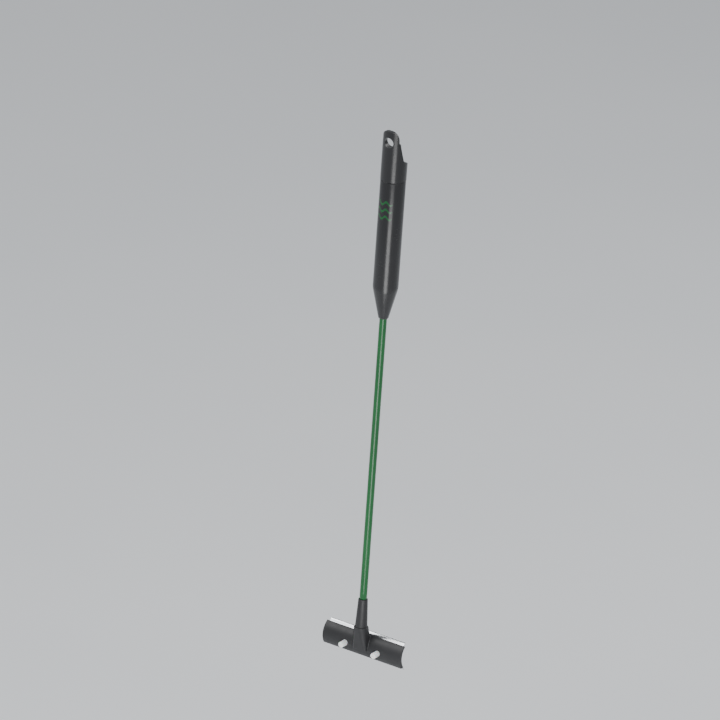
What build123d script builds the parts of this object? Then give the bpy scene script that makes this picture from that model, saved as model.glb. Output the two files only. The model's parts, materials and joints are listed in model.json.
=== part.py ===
from build123d import *

import os
from math import cos, radians, sin

# Algae scraper for aquarium glass: a hollow grip with a hanging cap, a coated rod and a bowed blade head.
# Millimetres. The rod runs along Z with the handle up, the head's long axis is X, and the convex front of
# the head faces -Y. The origin is the centre of the hanging hole, at the middle of the tongue's wall.

# Overall
TOTAL_LENGTH = 450.0
AXIS_Y = 7.5
SMALL_ROUND = 0.5
EDGE_BREAK = 0.25
TOLERANCE = 0.01

# End cap: a spigot plugs into the grip, and a scoop cut from behind leaves a hanging tongue in front
CAP_R = 10.3
CAP_TOP = 9.4
CAP_BASE = -33.0
CAP_BORE_R = 6.6
CAP_HOLLOW_TOP = -9.0
CAP_HOLLOW_SLOPE = 2.2
CAP_WEB = 2.0
SPIGOT_LENGTH = 12.0
TONGUE_WIDTH = 15.2
TONGUE_CORNER_R = 6.2
HANG_HOLE_R = 4.2
SCOOP_TOP = (-6.4, 6.0)
SCOOP_MIDDLE = (-4.4, -5.6)
SCOOP_LOW = (-1.6, -15.6)
SCOOP_BACK = (10.0, -20.6)
SCOOP_LEAN = 1.2
SCOOP_FILLET = 3.4
SNAP_BEAD_R = 8.25
SNAP_BEAD_Z = -40.0
SNAP_BEAD_HALF = 0.9

# Grip: a straight tube that ends in a cone round the rod
GRIP_R = 10.1
GRIP_BORE_R = 8.0
CONE_TOP = -124.0
CONE_TIP = -149.5
CONE_TIP_R = 4.0
CONE_TOP_ROUND = 3.0
BORE_FLOOR = -119.0

# Rod: a steel tube in a plastic coat, carried in the grip by a pinned bush
COAT_R = 3.0
CORE_R = 2.5
CORE_BORE_R = 1.8
ROD_TOP = -60.0
PLUG_SHANK = 6.0
PLUG_FLANGE = 1.0
BUSH_LENGTH = 12.0
BUSH_TOP = -63.0
PIN_R = 1.0
PIN_LENGTH = 15.0

# Blade holder: a bowed plate and a boss for the neck. Heights are measured from the centre of the bow
HEAD_LENGTH = 75.0
BOW_R = 12.9
BOW_BEHIND_ROD = 14.7
BOW_TOP_ANGLE = 55.2
BOW_BOTTOM_ANGLE = -37.3
HOLLOW_R = 12.7
HOLLOW_BEHIND_BOW = 2.6
HOLLOW_ABOVE_BOW = 0.9
HOLLOW_TOP_ANGLE = 42.7
HOLLOW_BOTTOM_ANGLE = -42.1
BOSS_WIDTH = 11.4
BOSS_BOTTOM_WIDTH = 13.0
BOSS_TOP = 18.3
BOSS_BOTTOM = -1.4
BOSS_FRONT_TOP = -5.7
BOSS_FRONT_BOTTOM = -1.4
BOSS_BACK_BOTTOM = 9.0
BOSS_TOP_ROUND = 5.6
BOSS_BOTTOM_ROUND = 2.2
BOSS_FOOT_ROUND = 0.6

# Neck: a taper that ends the rod and plugs into the boss
NECK_LENGTH = 23.5
NECK_TOP_R = 3.75
NECK_BOTTOM_R = 4.9
NECK_SPIGOT_R = 3.0
NECK_SPIGOT_LENGTH = 6.5
NECK_FLOOR = 2.0
NECK_SCREW_DROP = 3.2
NECK_SCREW_R = 0.9
NECK_SCREW_TIP = 0.4
NECK_SCREW_HEAD_R = 1.9
NECK_SCREW_SEAT = 3.9
NECK_SCREW_HEAD = 1.2

# Blade: one sheet bowed into the hollow side, sharpened along both long edges
BLADE_LENGTH = 71.5
BLADE_THICKNESS = 0.4
BLADE_OUT_TOP = 3.6
BLADE_OUT_BOTTOM = 5.2
BEVEL_LENGTH = 1.2
EDGE_THICKNESS = 0.06

# Clamp: a strip behind the blade, two screws through it and a thumb nut on each
FASTENER_X = 15.6
FASTENER_ANGLE = -4.0
STRIP_LENGTH = 44.0
STRIP_THICKNESS = 1.4
STRIP_ANGLE = -7.2
STRIP_HALF_ANGLE = 17.0
STRIP_CORNER_R = 1.0
STRIP_SEAT_DEPTH = 0.5
SCREW_R = 1.5
SCREW_HOLE_R = 1.75
SCREW_HEAD_R = 2.7
SCREW_HEAD_HEIGHT = 1.6
SCREW_SLOT_WIDTH = 0.8
SCREW_SLOT_DEPTH = 0.8
SCREW_REACH = 4.8
NUT_R = 2.35
NUT_LENGTH = 6.1
NUT_SEAT_R = 3.1
NUT_SEAT_DEPTH = 0.35
INSERT_R = 1.95
INSERT_LENGTH = 4.0
THREAD_CLEARANCE = 0.05
WASHER_R = 2.0
WASHER_THICKNESS = 0.5
WASHER_CLEARANCE = 0.15

# Places worked out from the sizes above
BLADE_BACK_R = HOLLOW_R - BLADE_THICKNESS
LOWER_RIM = radians(-HOLLOW_BOTTOM_ANGLE)
BLADE_DROP = HOLLOW_R * sin(LOWER_RIM) + BLADE_OUT_BOTTOM * cos(LOWER_RIM)
BOW_Z = CAP_TOP - TOTAL_LENGTH + BLADE_DROP - HOLLOW_ABOVE_BOW
BOW_Y = AXIS_Y + BOW_BEHIND_ROD
BOW = (BOW_Y, BOW_Z)
HOLLOW = (BOW_Y + HOLLOW_BEHIND_BOW, BOW_Z + HOLLOW_ABOVE_BOW)
BOSS_TOP_Z = BOW_Z + BOSS_TOP
BOSS_BOTTOM_Z = BOW_Z + BOSS_BOTTOM
NECK_TOP_Z = BOSS_TOP_Z + NECK_LENGTH
ROD_BOTTOM = BOSS_TOP_Z + NECK_FLOOR + PLUG_FLANGE
PIN_Z = BUSH_TOP - BUSH_LENGTH / 2
NECK_SCREW_Z = BOSS_TOP_Z - NECK_SCREW_DROP
FASTENER_TURN = radians(FASTENER_ANGLE)
HOLLOW_ALONG = HOLLOW_ABOVE_BOW * sin(FASTENER_TURN) - HOLLOW_BEHIND_BOW * cos(FASTENER_TURN)
HOLLOW_OFFSET_SQUARED = HOLLOW_BEHIND_BOW**2 + HOLLOW_ABOVE_BOW**2
FASTENER_HOLLOW_R = HOLLOW_ALONG + (HOLLOW_ALONG**2 - HOLLOW_OFFSET_SQUARED + HOLLOW_R**2) ** 0.5
SCREW_SEAT_R = FASTENER_HOLLOW_R - BLADE_THICKNESS - STRIP_THICKNESS + STRIP_SEAT_DEPTH
NUT_BASE_R = BOW_R - NUT_SEAT_DEPTH
SCREW_TIP_R = NUT_BASE_R + SCREW_REACH
THREAD_R = SCREW_R + THREAD_CLEARANCE
WASHER_HOLE_R = SCREW_R + WASHER_CLEARANCE

ROD_AXIS = Axis((0, AXIS_Y, 0), (0, 0, 1))
ROD_SIDE = Plane.XZ.offset(-AXIS_Y)
SIDES = {"left": -FASTENER_X, "right": FASTENER_X}


def arc_point(centre, radius, angle, run=0.0):
    """A (y, z) point on an arc that faces the front, run on along the tangent past its near end."""
    turn = radians(angle)
    onward = run if angle > 0 else -run
    y = centre[0] - radius * cos(turn) + onward * sin(turn)
    z = centre[1] + radius * sin(turn) + onward * cos(turn)
    return (y, z)


def fastener_plane(x, radius):
    """A plane square to a fastener's axis, at a radius from the bow's centre and facing the front."""
    y, z = arc_point(BOW, radius, FASTENER_ANGLE)
    return Plane(origin=(x, y, z), x_dir=(1, 0, 0), z_dir=(0, -cos(FASTENER_TURN), sin(FASTENER_TURN)))


def save(piece, name):
    """Label a finished piece and write its file."""
    piece.part.label = name
    export_step(piece.part, "parts/" + name + ".step")


def turned(outline):
    """A piece turned about the rod's axis from its (radius, height) outline."""
    with BuildPart() as piece:
        with BuildSketch(ROD_SIDE):
            with BuildLine():
                Polyline(*outline, close=True)
            make_face()
        revolve(axis=ROD_AXIS)
    return piece


def make_cap():
    """Tube with a snap-in spigot, cut from behind to a rounded tongue with the hanging hole."""
    outline = [
        (0, CAP_TOP),
        (CAP_R, CAP_TOP),
        (CAP_R, CAP_BASE + EDGE_BREAK),
        (CAP_R - EDGE_BREAK, CAP_BASE),
        (GRIP_BORE_R, CAP_BASE),
        (GRIP_BORE_R, SNAP_BEAD_Z + SNAP_BEAD_HALF),
        (SNAP_BEAD_R, SNAP_BEAD_Z),
        (GRIP_BORE_R, SNAP_BEAD_Z - SNAP_BEAD_HALF),
        (GRIP_BORE_R, CAP_BASE - SPIGOT_LENGTH + SMALL_ROUND),
        (GRIP_BORE_R - SMALL_ROUND, CAP_BASE - SPIGOT_LENGTH),
        (CAP_BORE_R, CAP_BASE - SPIGOT_LENGTH),
        (CAP_BORE_R, CAP_BASE),
        (0, CAP_BASE),
    ]
    cup = [
        (0, CAP_BASE + CAP_WEB),
        (CAP_BORE_R - SMALL_ROUND, CAP_BASE + CAP_WEB),
        (CAP_BORE_R, CAP_BASE + CAP_WEB + SMALL_ROUND),
        (CAP_BORE_R, CAP_HOLLOW_TOP - CAP_HOLLOW_SLOPE),
        (CAP_BORE_R - CAP_HOLLOW_SLOPE, CAP_HOLLOW_TOP),
        (0, CAP_HOLLOW_TOP),
    ]
    above = CAP_TOP + CAP_R
    behind = AXIS_Y + 2 * CAP_R
    with BuildPart() as cap:
        with BuildSketch(ROD_SIDE):
            with BuildLine():
                Polyline(*outline, close=True)
            make_face()
        revolve(axis=ROD_AXIS)
        with BuildSketch(ROD_SIDE):
            with BuildLine():
                Polyline(*cup, close=True)
            make_face()
        revolve(axis=ROD_AXIS, mode=Mode.SUBTRACT)
        with BuildSketch(Plane.YZ):
            with BuildLine():
                top = (AXIS_Y + SCOOP_TOP[0] - SCOOP_LEAN, above)
                start = (AXIS_Y + SCOOP_TOP[0], SCOOP_TOP[1])
                middle = (AXIS_Y + SCOOP_MIDDLE[0], SCOOP_MIDDLE[1])
                low = (AXIS_Y + SCOOP_LOW[0], SCOOP_LOW[1])
                rim = (AXIS_Y + SCOOP_BACK[0], SCOOP_BACK[1])
                Polyline(low, rim, (behind, SCOOP_BACK[1]), (behind, above), top, start)
                ThreePointArc(start, middle, low)
            make_face()
            corner = vertices().sort_by_distance((AXIS_Y + SCOOP_LOW[0], SCOOP_LOW[1], 0))[0]
            fillet(corner, radius=SCOOP_FILLET)
        extrude(amount=CAP_R + 1, both=True, mode=Mode.SUBTRACT)
        with BuildSketch(Plane.XZ):
            Rectangle(4 * CAP_R, 2 * CAP_R, align=(Align.CENTER, Align.MIN))
            with Locations((0, CAP_TOP)):
                RectangleRounded(
                    TONGUE_WIDTH,
                    6 * CAP_R,
                    TONGUE_CORNER_R,
                    align=(Align.CENTER, Align.MAX),
                    mode=Mode.SUBTRACT,
                )
        extrude(amount=2 * CAP_R, both=True, mode=Mode.SUBTRACT)
        with Locations(Plane.XZ):
            Hole(HANG_HOLE_R, depth=2 * CAP_R)
    return cap


def make_grip():
    """Straight tube closed by a cone that holds the rod."""
    outline = [
        (GRIP_BORE_R, CAP_BASE),
        (GRIP_R - EDGE_BREAK, CAP_BASE),
        (GRIP_R, CAP_BASE - EDGE_BREAK),
        (GRIP_R, CONE_TOP),
        (CONE_TIP_R, CONE_TIP),
        (COAT_R, CONE_TIP),
        (COAT_R, BORE_FLOOR),
        (GRIP_BORE_R, BORE_FLOOR),
        (GRIP_BORE_R, SNAP_BEAD_Z - SNAP_BEAD_HALF),
        (SNAP_BEAD_R, SNAP_BEAD_Z),
        (GRIP_BORE_R, SNAP_BEAD_Z + SNAP_BEAD_HALF),
    ]
    with BuildPart() as grip:
        with BuildSketch(ROD_SIDE):
            with BuildLine():
                Polyline(*outline, close=True)
            make_face()
            fillet(vertices().sort_by_distance((GRIP_R, CONE_TOP, 0))[0], radius=CONE_TOP_ROUND)
            fillet(vertices().sort_by_distance((CONE_TIP_R, CONE_TIP, 0))[0], radius=SMALL_ROUND)
        revolve(axis=ROD_AXIS)
    return grip


def cross_hole(length):
    """Drill the pin's hole across the piece being built."""
    with BuildSketch(Plane.YZ) as hole:
        with Locations((AXIS_Y, PIN_Z)):
            Circle(PIN_R)
    extrude(hole.sketch, amount=length, both=True, mode=Mode.SUBTRACT)


def make_tube(outer, inner, top, bottom):
    """Length of round tube on the rod's axis with the pin's hole through it."""
    with BuildPart() as tube:
        with BuildSketch(Plane.XY.offset(bottom)):
            with Locations((0, AXIS_Y)):
                Circle(outer)
                Circle(inner, mode=Mode.SUBTRACT)
        extrude(amount=top - bottom)
        cross_hole(2 * GRIP_R)
    return tube


def make_pin():
    """Cross pin that locks the bush to the rod."""
    with BuildPart() as pin:
        with BuildSketch(Plane.YZ):
            with Locations((AXIS_Y, PIN_Z)):
                Circle(PIN_R)
        extrude(amount=PIN_LENGTH / 2, both=True)
        chamfer(pin.edges().filter_by(GeomType.CIRCLE), length=EDGE_BREAK)
    return pin


def make_plug(end, way):
    """Flanged plug in one end of the steel tube; way is +1 at the top and -1 at the bottom."""
    return turned([
        (0, end + way * PLUG_FLANGE),
        (CORE_R, end + way * PLUG_FLANGE),
        (CORE_R, end),
        (CORE_BORE_R, end),
        (CORE_BORE_R, end - way * (PLUG_SHANK - SMALL_ROUND)),
        (CORE_BORE_R - SMALL_ROUND, end - way * PLUG_SHANK),
        (0, end - way * PLUG_SHANK),
    ])


def make_neck():
    """Taper with a blind bore for the rod and a spigot for the boss, drilled across for its screw."""
    outline = [
        (CORE_R, NECK_TOP_Z),
        (NECK_TOP_R, NECK_TOP_Z),
        (NECK_BOTTOM_R, BOSS_TOP_Z),
        (NECK_SPIGOT_R, BOSS_TOP_Z),
        (NECK_SPIGOT_R, BOSS_TOP_Z - NECK_SPIGOT_LENGTH),
        (0, BOSS_TOP_Z - NECK_SPIGOT_LENGTH),
        (0, BOSS_TOP_Z + NECK_FLOOR),
        (CORE_R, BOSS_TOP_Z + NECK_FLOOR),
    ]
    with BuildPart() as neck:
        with BuildSketch(ROD_SIDE):
            with BuildLine():
                Polyline(*outline, close=True)
            make_face()
            fillet(vertices().sort_by_distance((NECK_TOP_R, NECK_TOP_Z, 0))[0], radius=EDGE_BREAK)
        revolve(axis=ROD_AXIS)
        with BuildSketch(Plane.XZ.offset(-AXIS_Y - NECK_SCREW_TIP)):
            with Locations((0, NECK_SCREW_Z)):
                Circle(NECK_SCREW_R)
        extrude(amount=-NECK_BOTTOM_R, mode=Mode.SUBTRACT)
    return neck


def make_neck_screw():
    """Self-tapping screw through the back of the boss into the neck's spigot."""
    with BuildPart() as screw:
        with BuildSketch(Plane.XZ.offset(-AXIS_Y - NECK_SCREW_TIP)):
            with Locations((0, NECK_SCREW_Z)):
                Circle(NECK_SCREW_R)
        extrude(amount=NECK_SCREW_TIP - NECK_SCREW_SEAT)
        with BuildSketch(Plane.XZ.offset(-AXIS_Y - NECK_SCREW_SEAT)):
            with Locations((0, NECK_SCREW_Z)):
                Circle(NECK_SCREW_HEAD_R)
        extrude(amount=-NECK_SCREW_HEAD)
        chamfer(screw.edges().group_by(Axis.Y)[-1], length=EDGE_BREAK)
        with BuildSketch(Plane.XZ.offset(-AXIS_Y - NECK_SCREW_SEAT - NECK_SCREW_HEAD)):
            with Locations((0, NECK_SCREW_Z)):
                Rectangle(2 * NECK_SCREW_HEAD_R, SMALL_ROUND)
        extrude(amount=NECK_SCREW_HEAD / 2, mode=Mode.SUBTRACT)
    return screw


def bow_sketch(front, back):
    """Draw a section between two arcs, each given as (centre, radius, low angle, high angle)."""
    with BuildLine() as outline:
        for centre, radius, low, high in (front, back):
            ThreePointArc(
                arc_point(centre, radius, low),
                arc_point(centre, radius, (low + high) / 2),
                arc_point(centre, radius, high),
            )
        for end in (2, 3):
            Line(arc_point(front[0], front[1], front[end]), arc_point(back[0], back[1], back[end]))
    make_face(outline.edges())


def fastener_bore(radius, start_r, depth):
    """Cut a round hole on both fastener axes, from a radius about the bow's centre inwards."""
    for x in SIDES.values():
        with BuildSketch(fastener_plane(x, start_r)) as hole:
            Circle(radius)
        extrude(hole.sketch, amount=-depth, mode=Mode.SUBTRACT)


def is_boss_foot(edge):
    """Whether an edge is round the boss's lower end: its bottom rim or its corner with the plate's front."""
    middle = edge.center()
    from_bow = Vector(0, middle.Y - BOW_Y, middle.Z - BOW_Z).length
    on_boss = abs(middle.X) < BOSS_BOTTOM_WIDTH / 2 + TOLERANCE
    on_plate_front = abs(from_bow - BOW_R) < TOLERANCE and middle.Z < BOW_Z + BOW_R / 2
    on_bottom = abs(middle.Z - BOSS_BOTTOM_Z) < TOLERANCE and middle.Y < BOW_Y - BOW_R + SMALL_ROUND
    return on_boss and (on_plate_front or on_bottom)


def make_holder():
    """Bowed plate with the boss that carries the neck, spot-faced for the two nuts."""
    boss_depth_top = -2 * BOSS_FRONT_TOP
    boss_depth_bottom = BOSS_BACK_BOTTOM - BOSS_FRONT_BOTTOM
    middle_bottom = AXIS_Y + (BOSS_BACK_BOTTOM + BOSS_FRONT_BOTTOM) / 2
    with BuildPart() as holder:
        with BuildSketch(Plane.YZ):
            bow_sketch(
                (BOW, BOW_R, BOW_BOTTOM_ANGLE, BOW_TOP_ANGLE),
                (HOLLOW, HOLLOW_R, HOLLOW_BOTTOM_ANGLE, HOLLOW_TOP_ANGLE),
            )
        extrude(amount=HEAD_LENGTH / 2, both=True)
        fillet(holder.edges().filter_by(Axis.X), radius=SMALL_ROUND)
        with BuildSketch(Plane.XY.offset(BOSS_TOP_Z)):
            with Locations((0, AXIS_Y)):
                RectangleRounded(BOSS_WIDTH, boss_depth_top, BOSS_TOP_ROUND)
        with BuildSketch(Plane.XY.offset(BOSS_BOTTOM_Z)):
            with Locations((0, middle_bottom)):
                RectangleRounded(BOSS_BOTTOM_WIDTH, boss_depth_bottom, BOSS_BOTTOM_ROUND)
        loft()
        with BuildSketch(Plane.YZ):
            with Locations(HOLLOW):
                Circle(HOLLOW_R)
        extrude(amount=BOSS_WIDTH, both=True, mode=Mode.SUBTRACT)
        fillet(holder.edges().filter_by(is_boss_foot), radius=BOSS_FOOT_ROUND)
        fillet(holder.edges().group_by(Axis.Z)[-1], radius=SMALL_ROUND)
        with BuildSketch(Plane.XY.offset(BOSS_TOP_Z)):
            with Locations((0, AXIS_Y)):
                Circle(NECK_SPIGOT_R)
        extrude(amount=-NECK_SPIGOT_LENGTH, mode=Mode.SUBTRACT)
        with BuildSketch(Plane.XZ.offset(-AXIS_Y)):
            with Locations((0, NECK_SCREW_Z)):
                Circle(NECK_SCREW_R)
        extrude(amount=-BOSS_WIDTH, mode=Mode.SUBTRACT)
        with BuildSketch(Plane.XZ.offset(-AXIS_Y - NECK_SCREW_SEAT)):
            with Locations((0, NECK_SCREW_Z)):
                Circle(NECK_SCREW_HEAD_R)
        extrude(amount=-BOSS_WIDTH, mode=Mode.SUBTRACT)
        fastener_bore(SCREW_HOLE_R, BOW_R, BOW_R / 2)
        fastener_bore(NUT_SEAT_R, BOW_R + NUT_SEAT_R, NUT_SEAT_R + NUT_SEAT_DEPTH)
    return holder


def make_blade():
    """Sheet that follows the hollow side, runs on straight past both rims and ends in ground edges."""
    ends = ((HOLLOW_TOP_ANGLE, BLADE_OUT_TOP), (HOLLOW_BOTTOM_ANGLE, BLADE_OUT_BOTTOM))
    with BuildPart() as blade:
        with BuildSketch(Plane.YZ):
            with BuildLine():
                for angle, run in ends:
                    Polyline(
                        arc_point(HOLLOW, HOLLOW_R, angle),
                        arc_point(HOLLOW, HOLLOW_R, angle, run - BEVEL_LENGTH),
                        arc_point(HOLLOW, BLADE_BACK_R + EDGE_THICKNESS, angle, run),
                        arc_point(HOLLOW, BLADE_BACK_R, angle, run),
                        arc_point(HOLLOW, BLADE_BACK_R, angle),
                    )
                for radius in (HOLLOW_R, BLADE_BACK_R):
                    ThreePointArc(
                        arc_point(HOLLOW, radius, HOLLOW_BOTTOM_ANGLE),
                        arc_point(HOLLOW, radius, 0),
                        arc_point(HOLLOW, radius, HOLLOW_TOP_ANGLE),
                    )
            make_face()
        extrude(amount=BLADE_LENGTH / 2, both=True)
        fastener_bore(SCREW_HOLE_R, BOW_R, BOW_R / 2)
    return blade


def make_strip():
    """Curved strip that presses the blade into the holder, with a flat seat for each screw head."""
    low = STRIP_ANGLE - STRIP_HALF_ANGLE
    high = STRIP_ANGLE + STRIP_HALF_ANGLE
    with BuildPart() as strip:
        with BuildSketch(Plane.YZ):
            bow_sketch(
                (HOLLOW, BLADE_BACK_R, low, high),
                (HOLLOW, BLADE_BACK_R - STRIP_THICKNESS, low, high),
            )
        extrude(amount=STRIP_LENGTH / 2, both=True)
        fillet(strip.edges().filter_by(GeomType.LINE).filter_by(Axis.X, reverse=True), radius=STRIP_CORNER_R)
        fastener_bore(SCREW_HOLE_R, BOW_R, BOW_R)
        fastener_bore(SCREW_HEAD_R, SCREW_SEAT_R, BOW_R / 2)
    return strip


def make_screw(x):
    """Slotted screw whose head bears on the strip and whose shank stands out in front."""
    with BuildPart() as screw:
        with BuildSketch(fastener_plane(x, SCREW_SEAT_R)):
            Circle(SCREW_R)
        extrude(amount=SCREW_TIP_R - SCREW_SEAT_R)
        chamfer(screw.edges().group_by(Axis.Y)[0], length=EDGE_BREAK)
        with BuildSketch(fastener_plane(x, SCREW_SEAT_R)):
            Circle(SCREW_HEAD_R)
        extrude(amount=-SCREW_HEAD_HEIGHT)
        chamfer(screw.edges().group_by(Axis.Y)[-1], length=EDGE_BREAK)
        with BuildSketch(fastener_plane(x, SCREW_SEAT_R - SCREW_HEAD_HEIGHT)):
            Rectangle(SCREW_SLOT_WIDTH, 3 * SCREW_HEAD_R)
        extrude(amount=SCREW_SLOT_DEPTH, mode=Mode.SUBTRACT)
    return screw


def make_ring(x, outer, inner, start_r, length):
    """Round ring on a fastener's axis, from a radius about the bow's centre towards the front."""
    with BuildPart() as ring:
        with BuildSketch(fastener_plane(x, start_r)):
            Circle(outer)
            Circle(inner, mode=Mode.SUBTRACT)
        extrude(amount=length)
    return ring


def make_nut(x):
    """Cylindrical thumb nut with a closed front, a recess for its washer and a pocket for its insert."""
    with BuildPart() as nut:
        with BuildSketch(fastener_plane(x, NUT_BASE_R)):
            Circle(NUT_R)
        extrude(amount=NUT_LENGTH)
        fillet(nut.edges().group_by(Axis.Y)[0], radius=SMALL_ROUND)
        with BuildSketch(fastener_plane(x, NUT_BASE_R)):
            Circle(WASHER_R + THREAD_CLEARANCE)
        extrude(amount=WASHER_THICKNESS, mode=Mode.SUBTRACT)
        with BuildSketch(fastener_plane(x, NUT_BASE_R)):
            Circle(INSERT_R)
        extrude(amount=WASHER_THICKNESS + INSERT_LENGTH, mode=Mode.SUBTRACT)
        with BuildSketch(fastener_plane(x, NUT_BASE_R)):
            Circle(THREAD_R)
        extrude(amount=WASHER_THICKNESS + INSERT_LENGTH + SMALL_ROUND, mode=Mode.SUBTRACT)
    return nut


os.makedirs("parts", exist_ok=True)
save(make_cap(), "hanger_cap")
save(make_grip(), "grip")
save(make_tube(GRIP_BORE_R, COAT_R, BUSH_TOP, BUSH_TOP - BUSH_LENGTH), "grip_bush")
save(make_pin(), "rod_pin")
save(make_tube(COAT_R, CORE_R, ROD_TOP, NECK_TOP_Z), "rod_coating")
save(make_tube(CORE_R, CORE_BORE_R, ROD_TOP, ROD_BOTTOM), "rod_tube")
save(make_plug(ROD_TOP, 1), "rod_top_plug")
save(make_plug(ROD_BOTTOM, -1), "rod_bottom_plug")
save(make_neck(), "neck")
save(make_neck_screw(), "neck_screw")
save(make_holder(), "blade_holder")
save(make_blade(), "blade")
save(make_strip(), "clamp_strip")
for side, x in SIDES.items():
    save(make_screw(x), side + "_screw")
    save(make_nut(x), side + "_nut")
    save(make_ring(x, INSERT_R, THREAD_R, NUT_BASE_R + WASHER_THICKNESS, INSERT_LENGTH), side + "_insert")
    save(make_ring(x, WASHER_R, WASHER_HOLE_R, NUT_BASE_R, WASHER_THICKNESS), side + "_washer")
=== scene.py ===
import json
from math import cos, pi, radians, sin, tan

import bmesh
import bpy
from mathutils import Matrix, Vector


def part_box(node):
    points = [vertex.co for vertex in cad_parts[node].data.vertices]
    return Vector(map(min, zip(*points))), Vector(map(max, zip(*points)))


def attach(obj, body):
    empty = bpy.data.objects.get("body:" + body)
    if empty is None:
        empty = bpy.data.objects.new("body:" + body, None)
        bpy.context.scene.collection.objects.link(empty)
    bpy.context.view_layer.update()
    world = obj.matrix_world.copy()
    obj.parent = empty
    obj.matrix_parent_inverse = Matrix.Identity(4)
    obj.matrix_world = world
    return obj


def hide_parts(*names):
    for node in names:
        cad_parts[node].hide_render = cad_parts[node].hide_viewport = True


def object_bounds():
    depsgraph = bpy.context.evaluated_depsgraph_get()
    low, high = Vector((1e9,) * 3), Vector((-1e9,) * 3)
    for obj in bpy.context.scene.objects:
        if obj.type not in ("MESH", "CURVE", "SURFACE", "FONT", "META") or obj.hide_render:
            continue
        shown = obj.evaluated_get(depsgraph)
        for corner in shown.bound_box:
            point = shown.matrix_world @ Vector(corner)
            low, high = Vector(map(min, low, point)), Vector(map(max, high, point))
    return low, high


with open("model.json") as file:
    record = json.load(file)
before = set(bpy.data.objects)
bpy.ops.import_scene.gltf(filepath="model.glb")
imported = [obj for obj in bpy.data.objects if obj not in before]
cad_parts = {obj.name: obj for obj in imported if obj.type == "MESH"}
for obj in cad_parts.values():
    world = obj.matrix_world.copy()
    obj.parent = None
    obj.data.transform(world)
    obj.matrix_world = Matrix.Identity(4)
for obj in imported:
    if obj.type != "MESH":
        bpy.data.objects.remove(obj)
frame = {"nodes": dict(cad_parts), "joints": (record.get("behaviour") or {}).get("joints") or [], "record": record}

cad_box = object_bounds()

# ---------------------------------------------------------------- places, from the frame
MM = 0.001
NODES = frame["nodes"]
JOINTS = {joint["name"]: joint for joint in frame["joints"]}


def radius_and_ends(node):
    """A turned node's radius, top and bottom on the rod's axis, in millimetres."""
    low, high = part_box(node)
    return (high[0] - low[0]) / 2 / MM, high[2] / MM, low[2] / MM


ROD_LOW, ROD_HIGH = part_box("rod_tube")
ROD_Y = (ROD_LOW[1] + ROD_HIGH[1]) / 2
ROD_AXIS = (Vector((0, ROD_Y, 0)), Vector((0, 0, 1)))
X_DIR = Vector((1, 0, 0))
BOW_CENTRE_Z = -429.1 * MM
GRIP_R, GRIP_TOP, CONE_TIP = radius_and_ends("grip")
NECK_R, NECK_TOP, NECK_SPIGOT_END = radius_and_ends("neck")
COAT_R, COAT_TOP, COAT_END = radius_and_ends("rod_coating")
NECK_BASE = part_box("blade_holder")[1][2] / MM


# ---------------------------------------------------------------- small helpers
def link(obj):
    """Put a new object in the scene."""
    bpy.context.scene.collection.objects.link(obj)
    return obj


def mesh_object(name, bm, smooth=True):
    """Turn a bmesh into an object."""
    mesh = bpy.data.meshes.new(name)
    bmesh.ops.recalc_face_normals(bm, faces=bm.faces)
    bm.to_mesh(mesh)
    bm.free()
    if smooth:
        mesh.shade_smooth()
    return link(bpy.data.objects.new(name, mesh))


def rounded(corners, steps=4):
    """Turn (radius, height, round) corners in millimetres into a closed outline with its corners eased."""
    outline = []
    count = len(corners)
    for i, (r, z, ease) in enumerate(corners):
        here = Vector((r, z))
        if ease == 0:
            outline.append(here)
            continue
        before = Vector(corners[i - 1][:2]) - here
        after = Vector(corners[(i + 1) % count][:2]) - here
        start = here + before.normalized() * min(ease, before.length / 2)
        end = here + after.normalized() * min(ease, after.length / 2)
        for k in range(steps + 1):
            t = k / steps
            outline.append(start * (1 - t) ** 2 + here * 2 * t * (1 - t) + end * t**2)
    return outline


LATHE_MERGE = 0.002 * MM


def lathe(name, outline, axis, segments, parting=None, ridge=0.0, wobble=None):
    """Turn a closed outline, in millimetres, about an axis.

    A mould's parting line is left as a ridge along the segment that parting names and the one opposite.
    """
    origin, along = axis
    across = X_DIR
    side = along.cross(across)
    ridges = () if parting is None else (parting, parting + segments // 2)
    bm = bmesh.new()
    rings = []
    for point in outline:
        ring = []
        for k in range(segments):
            turn = 2 * pi * k / segments
            radius = point.x
            if k in ridges:
                radius += ridge
            if wobble is not None:
                radius += wobble(turn, point.y)
            place = across * cos(turn) + side * sin(turn)
            ring.append(bm.verts.new(origin + (place * radius + along * point.y) * MM))
        rings.append(ring)
    for i, ring in enumerate(rings):
        onward = rings[(i + 1) % len(rings)]
        for k in range(segments):
            n = (k + 1) % segments
            bm.faces.new((ring[k], ring[n], onward[n], onward[k]))
    bmesh.ops.remove_doubles(bm, verts=bm.verts, dist=LATHE_MERGE)
    return mesh_object(name, bm)


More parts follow.
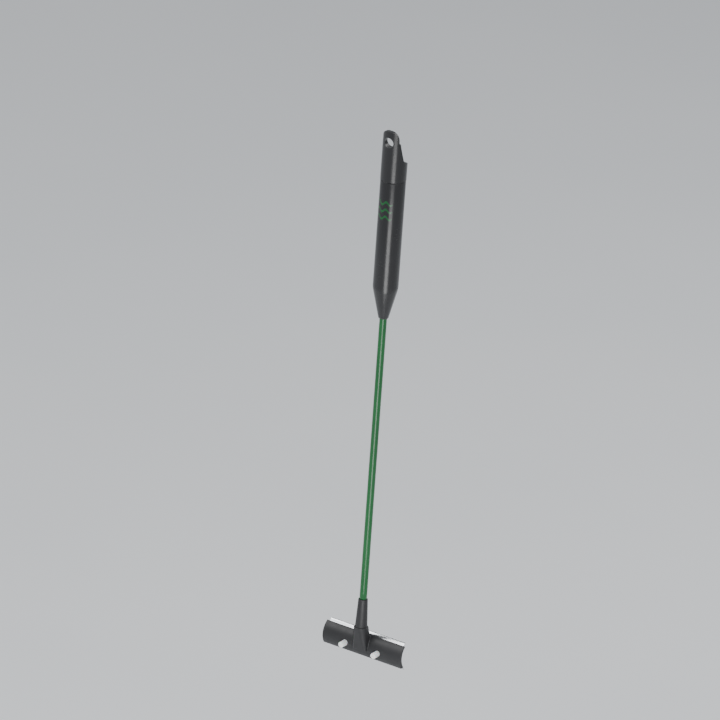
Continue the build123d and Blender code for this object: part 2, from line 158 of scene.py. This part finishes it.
# ---------------------------------------------------------------- materials
class Nodes:
    """A material's node tree, with short calls for the nodes that repeat."""

    def __init__(self, name):
        self.material = bpy.data.materials.new(name)
        self.material.use_nodes = True
        self.tree = self.material.node_tree
        self.shader = self.tree.nodes["Principled BSDF"]
        self.coords = self.tree.nodes.new("ShaderNodeTexCoord").outputs["Object"]

    def add(self, kind, links=(), **values):
        """Add a node, set its properties and connect its inputs."""
        node = self.tree.nodes.new("ShaderNode" + kind)
        for key, value in values.items():
            setattr(node, key, value)
        for socket, source in dict(links).items():
            self.put(node, socket, source)
        return node

    def put(self, node, socket, value):
        """Set an input, or link it when the value is another node's output."""
        if isinstance(value, bpy.types.NodeSocket):
            self.tree.links.new(value, node.inputs[socket])
        else:
            node.inputs[socket].default_value = value

    def noise(self, scale, detail=3.0, stretch=(1, 1, 1), roughness=0.5):
        """Noise over the object's own coordinates, per metre."""
        mapping = self.add("Mapping", {"Vector": self.coords, "Scale": stretch})
        noise = self.add(
            "TexNoise",
            {"Vector": mapping.outputs[0], "Scale": scale, "Detail": detail, "Roughness": roughness},
        )
        return noise.outputs["Fac"]

    def ramp(self, factor, low, high, colour_low, colour_high):
        """Colour ramp between two stops."""
        ramp = self.add("ValToRGB", {"Fac": factor})
        first, last = ramp.color_ramp.elements
        first.position, last.position = low, high
        first.color, last.color = (*colour_low, 1), (*colour_high, 1)
        return ramp.outputs["Color"]

    def spread(self, factor, low, high, to_low, to_high):
        """Map a factor's range to a range of values."""
        links = {"Value": factor, "From Min": low, "From Max": high, "To Min": to_low, "To Max": to_high}
        return self.add("MapRange", links).outputs[0]

    def bump(self, height, strength, distance, under=None):
        """Bump from a height, on top of another bump if one is given."""
        links = {"Height": height, "Strength": strength, "Distance": distance}
        if under is not None:
            links["Normal"] = under
        return self.add("Bump", links).outputs[0]

    def set(self, **values):
        """Set or link the shader's inputs; underscores stand for spaces."""
        for key, value in values.items():
            self.put(self.shader, key.replace("_", " "), value)
        return self.material


def black_plastic(name, rough_low, rough_high):
    """Near-black moulded plastic: fine spark-eroded grain, faint flow marks and rubbed patches."""
    n = Nodes(name)
    flow = n.noise(60, 4, (1, 1, 0.25))
    patch = n.noise(140, 3)
    grain = n.noise(5200, 2)
    scratch = n.noise(900, 2, (3.0, 3.0, 0.12))
    colour = n.ramp(flow, 0.3, 0.75, (0.0145, 0.0145, 0.0155), (0.019, 0.019, 0.0205))
    rough = n.spread(patch, 0.3, 0.7, rough_low, rough_high)
    bump = n.bump(grain, 0.08, 0.00003)
    bump = n.bump(scratch, 0.03, 0.00003, bump)
    return n.set(Base_Color=colour, Roughness=rough, Normal=bump, IOR=1.5)


def green_coat():
    """Glossy green vinyl: slow thickness waves, a faint extrusion grain along the rod."""
    n = Nodes("green_coat")
    wave = n.noise(90, 3, (1, 1, 0.4))
    grain = n.noise(2500, 2, (1, 1, 0.02))
    colour = n.ramp(wave, 0.3, 0.75, (0.002, 0.085, 0.018), (0.003, 0.112, 0.024))
    rough = n.spread(wave, 0.3, 0.7, 0.2, 0.3)
    bump = n.bump(grain, 0.08, 0.00003)
    bump = n.bump(wave, 0.1, 0.0002, bump)
    return n.set(Base_Color=colour, Roughness=rough, Normal=bump, IOR=1.5)


def white_nylon():
    """Natural nylon: warm white, slightly translucent, satin with fine grain."""
    n = Nodes("white_nylon")
    cloud = n.noise(350, 3)
    grain = n.noise(6000, 2)
    colour = n.ramp(cloud, 0.3, 0.7, (0.86, 0.86, 0.845), (0.93, 0.93, 0.92))
    rough = n.spread(cloud, 0.3, 0.7, 0.32, 0.45)
    bump = n.bump(grain, 0.12, 0.00003)
    return n.set(
        Base_Color=colour, Roughness=rough, Normal=bump, Subsurface_Weight=0.15, Subsurface_Scale=0.001
    )


def streaked_steel(name, colour_low, colour_high, stretch, rough_low, rough_high):
    """Steel with colour streaks along the axis with the smallest stretch: rolling or turning grain, and where the
    two colours are far apart, painted reflection streaks as well.
    """
    n = Nodes(name)
    grain_and_reflection_streak = n.noise(700, 4, stretch, 0.65)
    fine = n.noise(3600, 2, stretch)
    blotch = n.noise(55, 3)
    # the colour follows the streaks; with the stainless colours this paints reflection streaks over the grain
    colour = n.ramp(grain_and_reflection_streak, 0.35, 0.68, colour_low, colour_high)
    rough = n.spread(blotch, 0.3, 0.7, rough_low, rough_high)
    bump = n.bump(fine, 0.15, 0.00002)
    return n.set(Base_Color=colour, Roughness=rough, Normal=bump, Metallic=1.0)


def brass():
    """Turned brass with ring marks and a little tarnish."""
    n = Nodes("brass")
    rings = n.noise(3000, 2, (0.1, 1, 0.1))
    tarnish = n.noise(500, 4)
    colour = n.ramp(tarnish, 0.35, 0.7, (0.52, 0.34, 0.12), (0.72, 0.52, 0.22))
    bump = n.bump(rings, 0.15, 0.00003)
    return n.set(Base_Color=colour, Roughness=0.28, Normal=bump, Metallic=1.0)


def grey_plastic():
    """Plain grey polyethylene with a waxy mottle."""
    n = Nodes("grey_plastic")
    wax = n.noise(300, 4)
    grain = n.noise(4000, 2)
    colour = n.ramp(wax, 0.3, 0.7, (0.13, 0.135, 0.14), (0.19, 0.195, 0.2))
    bump = n.bump(grain, 0.2, 0.00004)
    return n.set(Base_Color=colour, Roughness=0.5, Normal=bump)


MATERIALS = {
    "black_plastic": black_plastic("black_plastic", 0.22, 0.28),
    "green_coat": green_coat(),
    "white_nylon": white_nylon(),
    # stainless blade: streaks from dark grey to near white are partly grain and partly painted reflection
    "stainless": streaked_steel(
        "stainless", (0.16, 0.17, 0.19), (0.97, 0.975, 0.985), (0.012, 1, 1), 0.14, 0.26
    ),
    "steel": streaked_steel("steel", (0.40, 0.40, 0.42), (0.62, 0.63, 0.65), (1, 1, 0.05), 0.3, 0.42),
    "brass": brass(),
    "grey_plastic": grey_plastic(),
}
SATIN_BLACK = black_plastic("black_plastic_satin", 0.44, 0.52)
SLOT_OF = {part["node"]: part["material_slot"] for part in frame["record"]["subparts"]}


def finish_surface(obj, slot):
    """Give a piece the material of the given slot."""
    obj.data.materials.clear()
    obj.data.materials.append(MATERIALS[slot])


# ---------------------------------------------------------------- the carried-over CAD nodes
CREASE_ANGLE = radians(38)
WELD_DISTANCE = 0.001 * MM
for name, obj in NODES.items():
    obj.data.materials.clear()
    obj.data.materials.append(MATERIALS[SLOT_OF[name]])
    weld = obj.modifiers.new("weld", "WELD")
    weld.merge_threshold = WELD_DISTANCE
    split = obj.modifiers.new("crease", "EDGE_SPLIT")
    split.split_angle = CREASE_ANGLE
    obj.data.shade_smooth()
NODES["blade_holder"].data.materials[0] = SATIN_BLACK


# ---------------------------------------------------------------- pieces made over the CAD
def piece(obj, body, slot, *nodes):
    """Finish a mesh-built piece, hang it on its body and let it stand for its CAD nodes."""
    finish_surface(obj, slot)
    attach(obj, body)
    if nodes:
        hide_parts(*nodes)
    return obj


# corners of an outline are (radius, height, round)
GRIP_BORE_R = 8.0
GRIP_CONE_TOP = -124.0
GRIP_BORE_END = -119.0
CONE_TIP_R = 4.0
ROD_HOLE_R = 3.02
GRIP_OUTLINE = rounded([
    (GRIP_BORE_R, GRIP_TOP, 0.1),
    (GRIP_R, GRIP_TOP, 0.5),
    (GRIP_R, GRIP_CONE_TOP, 2.2),
    (CONE_TIP_R, CONE_TIP, 0.6),
    (ROD_HOLE_R, CONE_TIP, 0.15),
    (ROD_HOLE_R, GRIP_BORE_END, 0.0),
    (GRIP_BORE_R, GRIP_BORE_END, 0.4),
])
piece(lathe("grip_shell", GRIP_OUTLINE, ROD_AXIS, 144, 0, 0.04), "tool", "black_plastic", "grip")

NECK_TOP_R = 3.75
NECK_HOLE_R = 2.52
NECK_SPIGOT_R = 3.0
NECK_FLOOR = NECK_BASE + 2.0
ON_AXIS = 0.001
NECK_OUTLINE = rounded([
    (NECK_HOLE_R, NECK_TOP, 0.1),
    (NECK_TOP_R, NECK_TOP, 0.4),
    (NECK_R, NECK_BASE, 0.15),
    (NECK_SPIGOT_R, NECK_BASE, 0.0),
    (NECK_SPIGOT_R, NECK_SPIGOT_END, 0.3),
    (ON_AXIS, NECK_SPIGOT_END, 0.0),
    (ON_AXIS, NECK_FLOOR, 0.0),
    (NECK_HOLE_R, NECK_FLOOR, 0.1),
])
neck = lathe("neck_taper", NECK_OUTLINE, ROD_AXIS, 96, 0, 0.025)
piece(neck, "tool", "black_plastic", "neck")
neck.data.materials[0] = SATIN_BLACK

COAT_BORE_R = 2.5
COAT_END_R = COAT_R - 0.15
COAT_SHOULDER_R = COAT_R - 0.03
COAT_MEAN_R = COAT_R - 0.02
COAT_RUN = 3.5
COAT_WAVES = ((0.012, 0.21, 1), (0.008, 0.083, -2))


def coat_wobble(turn, height):
    """Slow variation in the coat's thickness round and along the rod, in millimetres."""
    return sum(size * sin(rate * height + turns * turn) for size, rate, turns in COAT_WAVES)


coat_outline = [
    Vector((COAT_BORE_R, COAT_END)),
    Vector((COAT_BORE_R, COAT_TOP)),
    Vector((COAT_END_R, COAT_TOP)),
    Vector((COAT_SHOULDER_R, COAT_TOP - 0.2)),
]
height = COAT_TOP - COAT_RUN
while height > COAT_END + COAT_RUN:
    coat_outline.append(Vector((COAT_MEAN_R, height)))
    height -= COAT_RUN
coat_outline.append(Vector((COAT_MEAN_R, COAT_END + 0.3)))
coat_outline.append(Vector((COAT_END_R, COAT_END + 0.05)))
coat = lathe("rod_coat", coat_outline, ROD_AXIS, 64, wobble=coat_wobble)
piece(coat, "tool", "green_coat", "rod_coating")

NUT_R = 2.35
NUT_LENGTH = 6.1
RECESS_R = 2.05
RECESS_DEPTH = 0.5
POCKET_R = 1.95
POCKET_END = 4.5
THREAD_R = 1.55
THREAD_END = 5.0
GATE_R = 0.6
GATE_HEIGHT = 5.97
NUT_OUTLINE = rounded([
    (RECESS_R, 0.0, 0.06),
    (NUT_R, 0.0, 0.12),
    (NUT_R, NUT_LENGTH, 0.55),
    (GATE_R + 0.15, NUT_LENGTH, 0.12),
    (GATE_R, GATE_HEIGHT, 0.08),
    (ON_AXIS, GATE_HEIGHT, 0.0),
    (ON_AXIS, THREAD_END, 0.0),
    (THREAD_R, THREAD_END, 0.0),
    (THREAD_R, POCKET_END, 0.0),
    (POCKET_R, POCKET_END, 0.1),
    (POCKET_R, RECESS_DEPTH, 0.0),
    (RECESS_R, RECESS_DEPTH, 0.0),
])
for side in ("left", "right"):
    joint = JOINTS[side + "_nut_turn"]
    axis = (Vector(joint["pos_m"]), Vector(joint["axis"]).normalized())
    nut = lathe(side + "_thumb_nut_body", NUT_OUTLINE, axis, 96, 24, 0.015)
    piece(nut, side + "_thumb_nut", "white_nylon", side + "_nut")

# generic printed mark: three waves wrapped on the front of the grip
MARK_HALF_ANGLE = radians(41)
MARK_RADIUS = GRIP_R + 0.03
MARK_DEPTH = 0.05
MARK_EDGE = 0.03
MARK_TIP = 0.02
TIP_TAPER = 0.35
WAVE_HEIGHT = 1.3
WAVE_WIDTH = 1.9
WAVES = 2.0
MARK_STEPS = 72


def wave_mark(name, middle_height):
    """One wavy band with pointed ends, lying on the grip."""
    bm = bmesh.new()
    rows = []
    for k in range(MARK_STEPS + 1):
        t = k / MARK_STEPS
        turn = -pi / 2 + MARK_HALF_ANGLE * (2 * t - 1)
        centre = middle_height + WAVE_HEIGHT * sin(2 * pi * WAVES * t)
        half = WAVE_WIDTH / 2 * sin(pi * t) ** TIP_TAPER + MARK_TIP
        row = []
        for radius, shift in (
            (MARK_RADIUS - MARK_DEPTH, -half),
            (MARK_RADIUS, -half + MARK_EDGE),
            (MARK_RADIUS, half - MARK_EDGE),
            (MARK_RADIUS - MARK_DEPTH, half),
        ):
            place = Vector((radius * cos(turn), radius * sin(turn), centre + shift)) * MM
            row.append(bm.verts.new(place + Vector((0, ROD_Y, 0))))
        rows.append(row)
    for row, onward in zip(rows, rows[1:]):
        for a in range(4):
            b = (a + 1) % 4
            bm.faces.new((row[a], row[b], onward[b], onward[a]))
    bm.faces.new(rows[0])
    bm.faces.new(rows[-1])
    return mesh_object(name, bm, smooth=False)


for name, middle_height in (("mark_upper", -50.5), ("mark_middle", -56.5), ("mark_lower", -62.5)):
    piece(wave_mark(name, middle_height), "tool", "green_coat")


# ---------------------------------------------------------------- camera
AZIMUTH = radians(34.9)
ELEVATION = radians(22.5)
LEAN = radians(4.09)
CAMERA_DISTANCE = 20.0
FIELD_WIDTH = 0.5623
HEAD_BELOW_CENTRE = 0.2247
HEAD_LEFT_OF_CENTRE = 0.0003
SENSOR = 36.0

back = Vector((sin(AZIMUTH) * cos(ELEVATION), -cos(AZIMUTH) * cos(ELEVATION), sin(ELEVATION)))
level_right = Vector((cos(AZIMUTH), sin(AZIMUTH), 0))
level_up = back.cross(level_right)
right = level_right * cos(LEAN) + level_up * sin(LEAN)
up = level_up * cos(LEAN) - level_right * sin(LEAN)

camera_data = bpy.data.cameras.new("camera")
camera = link(bpy.data.objects.new("camera", camera_data))
camera_data.sensor_width = SENSOR
camera_data.lens = SENSOR * CAMERA_DISTANCE / FIELD_WIDTH
camera_data.clip_end = 120
head_point = Vector((0, ROD_Y, BOW_CENTRE_Z))
aim = head_point + right * HEAD_LEFT_OF_CENTRE + up * HEAD_BELOW_CENTRE
camera_turn = Matrix((right, up, back)).transposed().to_4x4()
camera.matrix_world = Matrix.Translation(aim + back * CAMERA_DISTANCE) @ camera_turn
bpy.context.scene.camera = camera


# ---------------------------------------------------------------- studio
def area_light(name, place, target, width, height, power):
    """A soft box that looks at a point and isn't seen by the camera."""
    data = bpy.data.lights.new(name, "AREA")
    data.shape = "RECTANGLE"
    data.size = width
    data.size_y = height
    data.energy = power
    lamp = link(bpy.data.objects.new(name, data))
    turn = (Vector(place) - Vector(target)).to_track_quat("Z", "Y").to_matrix().to_4x4()
    lamp.matrix_world = Matrix.Translation(place) @ turn
    lamp.visible_camera = False


# the strip stands where an upright round surface mirrors it to the camera
to_camera = Vector((sin(AZIMUTH), -cos(AZIMUTH), 0))
STRIP_AWAY = 0.45
STRIP_HEIGHT = -0.185
drop = Vector((0, 0, -STRIP_AWAY * tan(ELEVATION)))
strip_middle = Vector((0, ROD_Y, STRIP_HEIGHT)) + to_camera * STRIP_AWAY + drop
area_light("strip", strip_middle, strip_middle - to_camera, width=0.22, height=0.40, power=1.7)
area_light("overhead", (-0.9, -0.9, 1.1), (0, 0, -0.3), width=1.2, height=1.2, power=22)
area_light("fill_right", (1.6, -0.6, 0.6), (0, 0, -0.25), width=0.8, height=1.4, power=8)
area_light("rear", (0.3, 1.6, 0.8), (0, 0, -0.25), width=1.4, height=0.8, power=14)

world = bpy.data.worlds.new("studio")
world.use_nodes = True
world.node_tree.nodes["Background"].inputs["Color"].default_value = (0.80, 0.83, 0.87, 1)
world.node_tree.nodes["Background"].inputs["Strength"].default_value = 0.55
bpy.context.scene.world = world

FLOOR_BELOW_TOOL = 0.33
FLOOR_Z = cad_box[0].z - FLOOR_BELOW_TOOL
bm = bmesh.new()
bmesh.ops.create_grid(bm, x_segments=8, y_segments=8, size=9)
bmesh.ops.translate(bm, vec=(0, 0, FLOOR_Z), verts=bm.verts)
floor = mesh_object("floor", bm)
floor_nodes = Nodes("floor")
floor_tone = floor_nodes.ramp(floor_nodes.noise(3, 3), 0.3, 0.7, (0.86, 0.875, 0.89), (0.89, 0.90, 0.91))
floor.data.materials.append(floor_nodes.set(Base_Color=floor_tone, Roughness=0.7))
